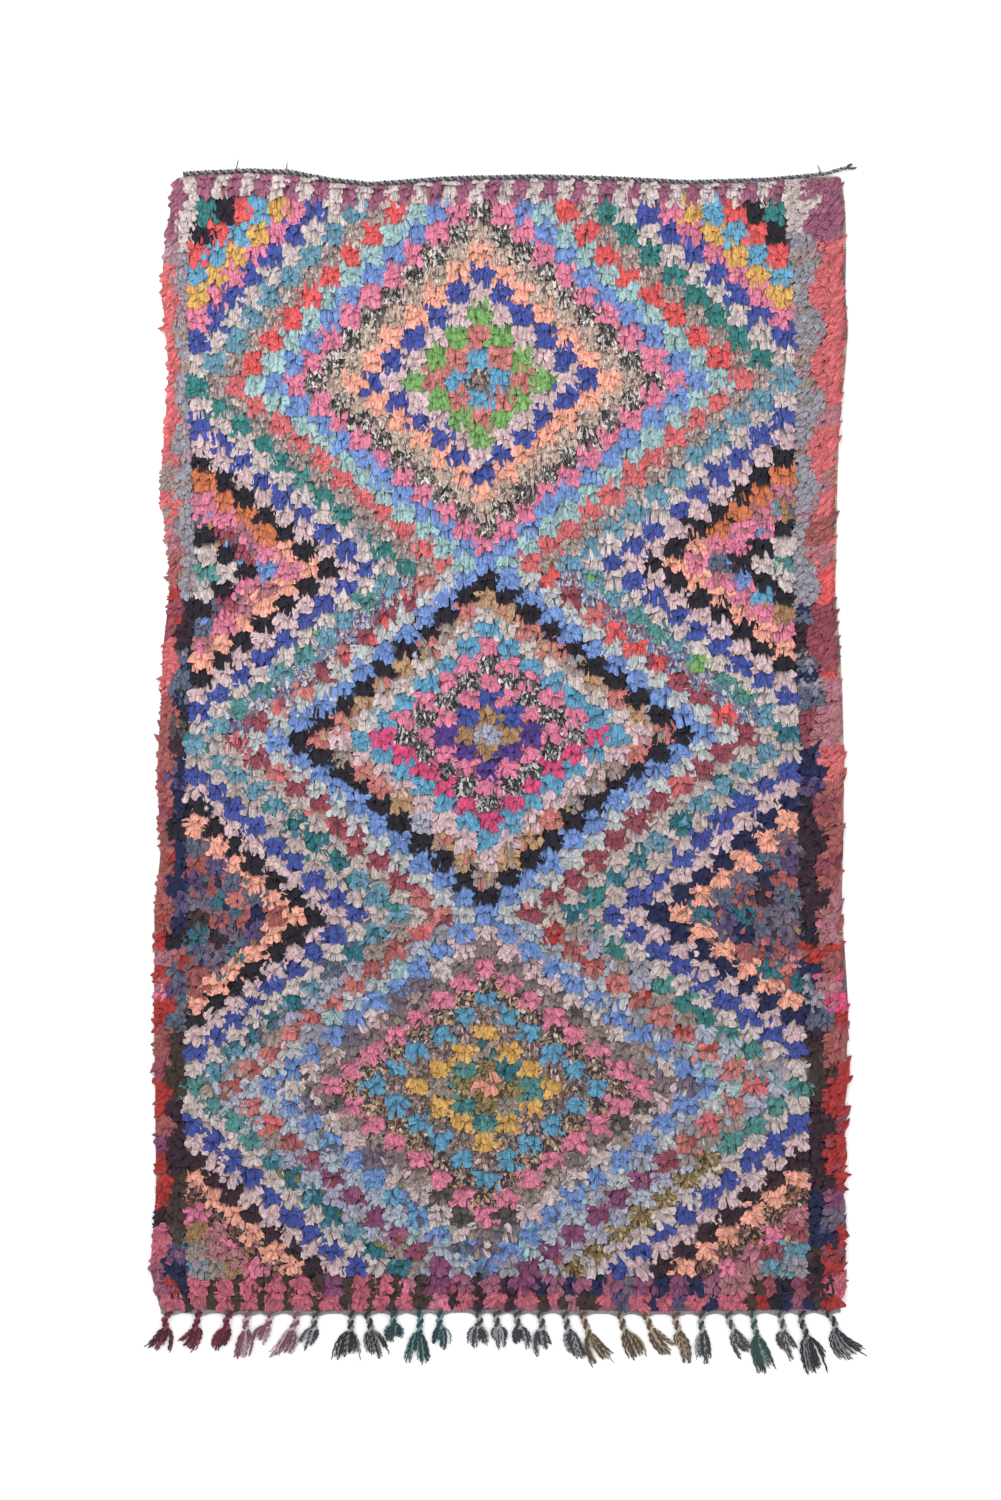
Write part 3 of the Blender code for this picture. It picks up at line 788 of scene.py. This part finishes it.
def creases(tree, where, across, lengthwise, width):
    """Wandering lines: 0 in a crease, 1 on the flat, for the bump and the painted crease shade. The sizes are metres
    on the cloth.
    """
    scaled = add(tree, "Mapping", {"Scale": (1 / across, 1 / lengthwise, 1.0), "Vector": where}).outputs[0]
    field = add(tree, "TexNoise", {"Scale": 1.0, "Detail": 1.5, "Roughness": 0.6, "Distortion": 0.4,
                                   "Vector": scaled}).outputs["Fac"]
    level = add(tree, "Math", {"operation": "SUBTRACT", 0: field, 1: 0.5}).outputs[0]
    gap = add(tree, "Math", {"operation": "ABSOLUTE", 0: level}).outputs[0]
    return add(tree, "MapRange", {"Value": gap, "From Max": width}).outputs["Result"]


def rag_cloth(name, dye, print_colours):
    """Torn, washed cotton: matt, crumpled, each end a little lighter or darker than the next, with painted shade in
    its creases and towards its knot.
    """
    made, tree, shader = new_material(("printed_cotton_" if print_colours else "torn_cotton_") + name, 0.9, 0.1)
    cloth = add(tree, "UVMap", {"uv_map": "cloth"}).outputs["UV"]
    # the tone holds each end's own lightness, painted shade towards its knot and the darkening towards the foot
    tone = add(tree, "Attribute", {"attribute_name": "tone"}).outputs["Fac"]
    if print_colours:
        # The flakes are 6 by 12 mm, coarser than on the real cloth, so that they don't blur into one grey.
        stretched = add(tree, "Mapping", {"Scale": (1 / 0.006, 1 / 0.012, 1.0), "Vector": cloth}).outputs[0]
        flakes = add(tree, "TexVoronoi", {"Scale": 1.0, "Vector": stretched}).outputs["Color"]
        pick = add(tree, "SeparateColor", {"Color": flakes}).outputs["Red"]
        ramp = add(tree, "ValToRGB", {"Fac": pick})
        ramp.color_ramp.interpolation = "CONSTANT"
        shares = [float(part.split()[1]) for part in print_colours]
        for index, part in enumerate(print_colours):
            stops = ramp.color_ramp.elements
            stop = stops[index] if index < 2 else stops.new(0.9)
            stop.position = sum(shares[:index]) / sum(shares)
            stop.color = (*linear(part.split()[0]), 1)
        colour = ramp.outputs["Color"]
    else:
        base, fleck, share = dye
        lint = add(tree, "TexNoise", {"Scale": 1 / 0.006, "Detail": 3.0, "Roughness": 0.6, "Vector": cloth})
        amount = add(tree, "MapRange", {"Value": lint.outputs["Fac"], "From Min": 0.62 - share * 0.4,
                                        "From Max": 0.72, "To Max": 0.85}).outputs["Result"]
        colour = add(tree, "Mix", {"data_type": "RGBA", 0: amount, 6: base, 7: fleck}).outputs[2]
    # Creases along the strip come every 7.5 mm, and those of the crumpled cloth every 20 mm.
    along_strip = creases(tree, cloth, 0.0075, 0.060, 0.075)
    crumpled = creases(tree, cloth, 0.020, 0.018, 0.03)
    folds = add(tree, "Math", {"operation": "MULTIPLY", 0: along_strip, 1: crumpled}).outputs[0]
    # painted shade: the colour is darkened in the creases, down to 0.52 at their middle
    depth = add(tree, "MapRange", {"Value": folds, "To Min": 0.52}).outputs["Result"]
    toned = add(tree, "Mix", {**MULTIPLY, 6: colour, 7: tone}).outputs[2]
    shaded = add(tree, "Mix", {**MULTIPLY, 6: toned, 7: depth}).outputs[2]
    tree.links.new(shaded, shader.inputs["Base Color"])
    bump = add(tree, "Bump", {"Strength": 0.35, "Distance": 0.0015, "Height": folds}).outputs["Normal"]
    tree.links.new(bump, shader.inputs["Normal"])
    return made


for number, rag in enumerate(CLOTHS):
    rows = ends[ends[:, 0] == number]
    if not len(rows):
        continue
    piece = join("rags_" + rag, rows)
    piece.data.materials.append(rag_cloth(rag, RAGS.get(rag), PRINTS.get(rag)))
    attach(piece, "root")
    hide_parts("rug_pile")

# %% [markdown]
# ## The ground cloth
# Under the pile lies the woven ground: cotton warps packed with beige and grey weft, thin and firm. It
# shows as a bare selvedge down the right side. Where it carries pile, the knots' collars make it three
# times as thick. It is one closed sheet, a grid with its rim turned down, so that it is a real cloth from
# below as well.

# %% Make the ground cloth
# thickness of the bare cloth, how much the knots add to it, and how wide the slope between the two is
GROUND, KNOT_BED, SLOPE = 0.0034, 0.0065, 0.012
BARE_LEFT, BARE_RIGHT = 0.004, 0.018
GRID = (100, 170)
# how far a knot's colour shows around its block's middle
COLLAR = 0.026
# lowest and highest y of the stretches of selvedge that were woven in grey
GREY_SELVEDGE = ((-1.16, -1.02), (-0.50, -0.36), (0.22, 0.28), (0.80, 0.84), (0.93, 1.13))


def first_dye(name):
    """The colour that the first rag of a block shows from below."""
    rag = rags_of(name)[0][0]
    return linear(RAGS[rag][0] if rag in RAGS else PRINTS[rag][1].split()[0])


places = np.array([block[1:3] for block in blocks])
dyes = np.array([first_dye(block[0]) for block in blocks])
bm = bmesh.new()
bmesh.ops.create_grid(bm, x_segments=GRID[0], y_segments=GRID[1], size=0.5)
for vert in bm.verts:
    v = vert.co.y + 0.5
    guess = FOOT_Y + v * LENGTH
    left, right = along(SIDES, guess, 1), along(SIDES, guess, 2)
    x = left + (vert.co.x + 0.5) * (right - left)
    low = along(FOOT, x / MM, 1)
    high = along(HEADING, x / MM, 1) - 0.0118
    y = low + v * (high - low)
    covered = min(x - left - BARE_LEFT, right - BARE_RIGHT - x, y - low, high - y)
    vert.co = (x, y, GROUND + KNOT_BED * min(1.0, max(0.0, covered / SLOPE)))
bottom = bmesh.ops.extrude_face_region(bm, geom=bm.faces[:])["geom"]
for vert in bottom:
    if isinstance(vert, bmesh.types.BMVert):
        vert.co.z = CLEAR
bmesh.ops.recalc_face_normals(bm, faces=bm.faces)
ground = object_from("ground_cloth", bm)
knots = ground.data.color_attributes.new("knots", "FLOAT_COLOR", "POINT")
selvedge, twill = linear("#D2BCAC"), linear("#857F82")
for vert, spot in zip(ground.data.vertices, knots.data):
    bare = twill if any(low < vert.co.y < high for low, high in GREY_SELVEDGE) else selvedge
    away = np.hypot(places[:, 0] - vert.co.x, (places[:, 1] - vert.co.y) * 1.1)
    nearest = int(np.argmin(away))
    spot.color = (*(dyes[nearest] if away[nearest] < COLLAR else bare), 1.0)
print("ground cloth:", len(ground.data.polygons), "faces")

# %% [markdown]
# Its weave is weft-faced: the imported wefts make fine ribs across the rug, 3 mm apart, over warps 5 mm
# apart. Bare, it drifts between beige and grey, because the yarn was changed as it ran out. Where it
# carries pile, the collars of the knots show through in the rags' own colours, and so do they underneath.

# %% The ground's material
woven, tree, shader = new_material("weft_faced_cotton_ground", 0.92, sheen=0.2)
place = add(tree, "TexCoord").outputs["Object"]
# a wave's bands come every 2 pi units of its scale
ribs = add(tree, "TexWave", {"wave_type": "BANDS", "bands_direction": "Y", "Scale": 1 / 0.003 / 6.28,
                             "Distortion": 1.2, "Detail": 2.0, "Vector": place}).outputs["Fac"]
warps = add(tree, "TexWave", {"wave_type": "BANDS", "bands_direction": "X", "Scale": 1 / 0.005 / 6.28,
                              "Distortion": 0.8, "Vector": place}).outputs["Fac"]
drift = add(tree, "Mapping", {"Scale": (1.5, 14.0, 1.0), "Vector": place}).outputs[0]
yarns = add(tree, "TexNoise", {"Scale": 1.0, "Detail": 4.0, "Vector": drift}).outputs["Fac"]
change = add(tree, "MapRange", {"Value": yarns, "From Min": 0.42, "From Max": 0.6, "To Min": 0.62}).outputs["Result"]
collars = add(tree, "Attribute", {"attribute_name": "knots"}).outputs["Color"]
rib_shade = add(tree, "MapRange", {"Value": ribs, "To Min": 0.7}).outputs["Result"]
ribbed = add(tree, "Mix", {**MULTIPLY, 6: collars, 7: rib_shade}).outputs[2]
shaded = add(tree, "Mix", {**MULTIPLY, 6: ribbed, 7: change}).outputs[2]
tree.links.new(shaded, shader.inputs["Base Color"])
weave = add(tree, "Math", {"operation": "MULTIPLY", 0: ribs, 1: warps}).outputs[0]
bump = add(tree, "Bump", {"Strength": 0.8, "Distance": 0.0012, "Height": weave}).outputs["Normal"]
tree.links.new(bump, shader.inputs["Normal"])
ground.data.materials.append(woven)
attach(ground, "root")
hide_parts("rug_pile")

# %% [markdown]
# ## Twisted yarn
# The heading cord, the tassels' necks and their loose ends are all the same thing at different sizes:
# plies wound round each other along a path. One function makes a ply. It starts from a flat grid, rolls it
# into a tube along the path, joins its two long edges and closes its ends.

# %% A function for a ply
def ply(bm, path, radius, twist, offset, phase, sides=5, taper=0.6, lumps=0.0):
    """A tube that winds round a path: offset is its distance from the path, twist its turns a metre."""
    stations = []
    travelled = 0.0
    for index, point in enumerate(path):
        before, after = path[max(index - 1, 0)], path[min(index + 1, len(path) - 1)]
        if index:
            travelled += (point - path[index - 1]).length
        way = (after - before).normalized()
        side = Vector((-way.y, way.x, 0.0)).normalized()
        up = way.cross(side) * -1
        if up.z < 0:
            up = -up
        angle = phase + travelled * twist * 2 * math.pi
        centre = point + offset * (side * math.cos(angle) + up * math.sin(angle))
        thick = radius * (1 - (1 - taper) * max(0.0, index / (len(path) - 1) - 0.6) / 0.4)
        thick *= 1 + lumps * noise.noise(Vector((travelled * 120, phase * 5, 3.0)))
        stations.append((centre, side * thick, up * thick))
    tube = bmesh.ops.create_grid(bm, x_segments=sides, y_segments=len(path) - 1, size=0.5)["verts"]
    for vert in tube:
        centre, side, up = stations[round((vert.co.y + 0.5) * (len(path) - 1))]
        around = 2 * math.pi * (vert.co.x + 0.5)
        vert.co = centre + side * math.cos(around) + up * math.sin(around)
        vert.co.z = max(vert.co.z, CLEAR)
    bmesh.ops.remove_doubles(bm, verts=tube, dist=1e-6)
    rims = {edge for vert in tube if vert.is_valid for edge in vert.link_edges if edge.is_boundary}
    bmesh.ops.holes_fill(bm, edges=list(rims), sides=sides)


def finish_yarn(name, bm, material, node):
    """Turns plies into a piece that stands for a solid."""
    bmesh.ops.recalc_face_normals(bm, faces=bm.faces)
    made = object_from(name, bm)
    made.data.shade_smooth()
    made.data.materials.append(material)
    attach(made, "root")
    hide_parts(node)
    print(name, len(made.data.polygons) * 2, "triangles or so")


def wool(name, base, fleck, share=0.5):
    """Hand-spun wool: matt and hairy, with flecks of a second colour about 2 mm long."""
    made, tree, shader = new_material("handspun_wool_" + name, 0.93, sheen=0.15)
    place = add(tree, "TexCoord").outputs["Object"]
    hair = add(tree, "TexNoise", {"Scale": 1 / 0.0022, "Detail": 3.0, "Vector": place}).outputs["Fac"]
    amount = add(tree, "MapRange", {"Value": hair, "From Min": 0.72 - share * 0.4,
                                    "From Max": 0.90 - share * 0.4}).outputs["Result"]
    colour = add(tree, "Mix", {"data_type": "RGBA", 0: amount, 6: base, 7: fleck}).outputs[2]
    tree.links.new(colour, shader.inputs["Base Color"])
    fine = add(tree, "TexNoise", {"Scale": 1 / 0.001, "Detail": 2.0, "Vector": place}).outputs["Fac"]
    bump = add(tree, "Bump", {"Strength": 0.5, "Distance": 0.0006, "Height": fine}).outputs["Normal"]
    tree.links.new(bump, shader.inputs["Normal"])
    return made


# %% [markdown]
# ## The heading cord
# At the head the loom's warp loops are twined with a dark cord so that the first row can't slip. It is two
# lumpy plies, one nearly black and one grey, about 12 mm thick together. A few threads of warp stand out of
# it, and its two ends hang loose at the top right corner.

# %% Make the heading cord
# the height of its middle, which is also its radius, and its path
CORD = 0.0058
CORD_LEFT, CORD_WIDTH, CORD_POINTS = -0.694, 1.426, 700
# where the cord's right end starts to turn up, over what distance, and by how much
TURN_UP = (0.690, 0.042, 0.013)
# radius of a ply, its turns a metre and its distance from the cord's middle
CORD_PLY, CORD_TWIST, CORD_OFFSET = 0.0035, 62, 0.0026
path = []
for step in range(CORD_POINTS):
    x = CORD_LEFT + step * (CORD_WIDTH / (CORD_POINTS - 1))
    lifted = max(0.0, (x - TURN_UP[0]) / TURN_UP[1]) * TURN_UP[2]
    path.append(Vector((x, along(HEADING, x / MM, 1) - CORD + lifted, CORD)))
dark = wool("dark_slate", "#30323B", "#A6A6AC", 0.4)
pale = wool("grey_mauve", "#6E6B76", "#D0CCCC", 0.5)
for name, yarn, phase in (("cord_ply_dark", dark, 0.0), ("cord_ply_pale", pale, math.pi)):
    bm = bmesh.new()
    ply(bm, path, CORD_PLY, CORD_TWIST, CORD_OFFSET, phase, lumps=0.5)
    finish_yarn(name, bm, yarn, "heading_cord")
# tip x and y, bend, and where it leaves the cord, as a share of the cord's length
LOOSE_ENDS = (
    (745, 1303, 2, 1.0), (754, 1296, -2, 1.0), (-575, 1314, 4, 0.08), (-470, 1308, -3, 0.155), (668, 1302, 3, 0.962),
)
bm = bmesh.new()
for x, y, bow, share in LOOSE_ENDS:
    start = path[round(share * (len(path) - 1))]
    way = [start.lerp(Vector((x * MM, y * MM, 0.002)), t / 24) for t in range(25)]
    for index, point in enumerate(way):
        point.y += bow * MM * math.sin(index / 24 * math.pi)
    thick = 0.0018 if share == 1.0 else 0.0008
    for phase in (0, math.pi):
        ply(bm, way, thick, 80, 0.8 * thick, phase, taper=0.4)
finish_yarn("cord_tails", bm, dark, "heading_cord")

# %% [markdown]
# ## End strip and tassels
# Below the pile the ground runs on bare for a finger's width, in grey wool. Then its warps are gathered
# into bunches, each twisted into a neck and left loose at its end. Between two bunches the strip's edge
# draws up into a shallow arch.

# %% Make the end strip
# root x, first and last tip x, length, neck and yarn colour
TASSELS = (
    (-722, -772, -720, 80, "burgundy"), (-656, -705, -662, 80, "burgundy"), (-591, -634, -602, 75, "burgundy"),
    (-553, -583, -553, 95, "dusty_mauve"), (-505, -544, -520, 64, "dusty_mauve"),
    (-449, -510, -467, 88, "dusty_mauve"), (-408, -447, -413, 75, "slate"), (-333, -370, -316, 97, "soot"),
    (-299, -296, -252, 92, "soot"), (-239, -256, -226, 58, "teal"), (-189, -219, -168, 108, "teal"),
    (-140, -161, -125, 75, "teal"), (-60, -82, -43, 73, "slate"), (-17, -28, 0, 77, "slate"),
    (26, 15, 50, 73, "slate"), (71, 62, 99, 90, "slate"), (129, 134, 172, 95, "slate"),
    (166, 185, 232, 112, "tan"), (243, 264, 301, 95, "tan"), (299, 331, 366, 84, "tan"),
    (366, 375, 398, 103, "tan"), (421, 411, 443, 103, "slate"), (479, 499, 531, 95, "ash"),
    (527, 543, 578, 125, "sage"), (585, 593, 626, 101, "ash"), (636, 645, 690, 131, "soot"),
    (688, 720, 772, 97, "soot"),
)
WOOLS = {
    "burgundy": ("#42101E", "#782A3E"), "dusty_mauve": ("#6B4452", "#A48A94"), "slate": ("#303238", "#888A90"),
    "soot": ("#1C1E22", "#74767C"), "teal": ("#18343A", "#567A7E"), "tan": ("#4A3E34", "#9A8670"),
    "ash": ("#383B40", "#909296"), "sage": ("#263F3E", "#6E8684"),
}
STRIP_LEFT, STRIP_WIDTH, STRIP_DEPTH, STRIP_TOP = -0.742, 1.461, 0.0137, 0.0036
# the hair between the pile and the strip
GAP = 0.0004
bm = bmesh.new()
bmesh.ops.create_grid(bm, x_segments=260, y_segments=3, size=0.5)
roots = np.array([t[0] for t in TASSELS]) * MM
for vert in bm.verts:
    x = STRIP_LEFT + (vert.co.x + 0.5) * STRIP_WIDTH
    near = float(np.min(np.abs(roots - x)))
    deep = STRIP_DEPTH * (0.98 - 0.42 * min(1.0, (near / 0.022) ** 1.5))
    top = along(FOOT, x / MM, 1) - GAP
    vert.co = (x, top - (0.5 - vert.co.y) * deep, STRIP_TOP)
back = bmesh.ops.extrude_face_region(bm, geom=bm.faces[:])["geom"]
bmesh.ops.translate(bm, vec=(0, 0, CLEAR - STRIP_TOP), verts=[g for g in back if isinstance(g, bmesh.types.BMVert)])
strip_wool = wool("end_strip", "#77717C", "#A9A2A8", 0.5)
finish_yarn("end_strip", bm, strip_wool, "fringe")

# %% [markdown]
# A tassel's neck is two thick plies, and 25 to 34 yarns come out of it, crimped where they were twisted.
# Each yarn follows its own line from the neck to its tip. The bunch is full from its top, and two yarns
# deep, so the upper ones lie on the lower ones and those on the floor.

# %% Make the tassels
# how much of a tassel is neck, and a neck's steps
NECK_SHARE, NECK_STEPS = 0.38, 28
# radius of a ply of the neck, its turns a metre and its distance from the neck's middle, radius of a yarn
NECK_PLY, NECK_TWIST, NECK_OFFSET, YARN = 0.0045, 42, 0.0034, 0.0019
bunches = {name: bmesh.new() for name in WOOLS}
pale_bunches = {name: bmesh.new() for name in WOOLS}
for root, first, last, length, colour in TASSELS:
    x = root * MM
    top = along(FOOT, root, 1) - 0.002
    edge = top - 0.012
    reach = length * MM
    middle = 0.5 * (first + last) * MM
    end = Vector((x + NECK_SHARE * (middle - x), edge - NECK_SHARE * reach, 0.0062))
    neck = [Vector((x, top, 0.0055)).lerp(end, t / NECK_STEPS) for t in range(NECK_STEPS + 1)]
    bow = rng.uniform(-0.006, 0.006)
    for index, point in enumerate(neck):
        point.x += bow * math.sin(index / NECK_STEPS * math.pi) + 0.0015 * math.sin(index * 0.32 + root)
    for phase in (0.0, math.pi):
        target = bunches if phase == 0 else pale_bunches
        ply(target[colour], neck, NECK_PLY, NECK_TWIST, NECK_OFFSET, phase, sides=7, taper=1.0, lumps=0.25)
    count = 20 + int((last - first) / 4)
    clumps = rng.uniform(0.68, 1.0, 4)
    clumps[rng.integers(4)] = 1.0
    swing = rng.uniform(0.7, 1.9)
    for yarn in range(count):
        share = (yarn + 0.5) / count + rng.normal(0.0, 0.07)
        hang = clumps[int(share * 3.99) % 4] * rng.uniform(0.86, 1.0)
        layer = yarn % 2
        tip = Vector((MM * (first + share * (last - first)), edge - hang * reach, 0.0020 + 0.0026 * layer))
        start = end + Vector(((share - 0.5) * 0.009, 0.005, rng.uniform(-0.002, 0.002)))
        crimp = rng.uniform(0.0008, 0.0018)
        way = []
        for t in range(15):
            s = t / 14
            point = start.lerp(tip, s)
            point.x = start.x + (tip.x - start.x) * s ** swing + math.sin(s ** 0.7 * math.pi) * (share - 0.5) * 0.016
            point.x += crimp * math.sin(s * 24 + 5 * yarn)
            point.z = tip.z + (start.z - tip.z) * (1 - s) + 0.0016 * abs(math.sin(s * 14 + yarn))
            way.append(point)
        target = bunches if rng.uniform() < 0.7 else pale_bunches
        ply(target[colour], way, YARN, 0, 0.0, 0.0, sides=4, taper=0.55)
for name, (base, fleck) in WOOLS.items():
    finish_yarn("tassels_" + name, bunches[name], wool(name, base, fleck, 0.2), "fringe")
    finish_yarn("tassels_" + name + "_pale", pale_bunches[name], wool(name + "_pale", fleck, base, 0.2),
                "fringe")
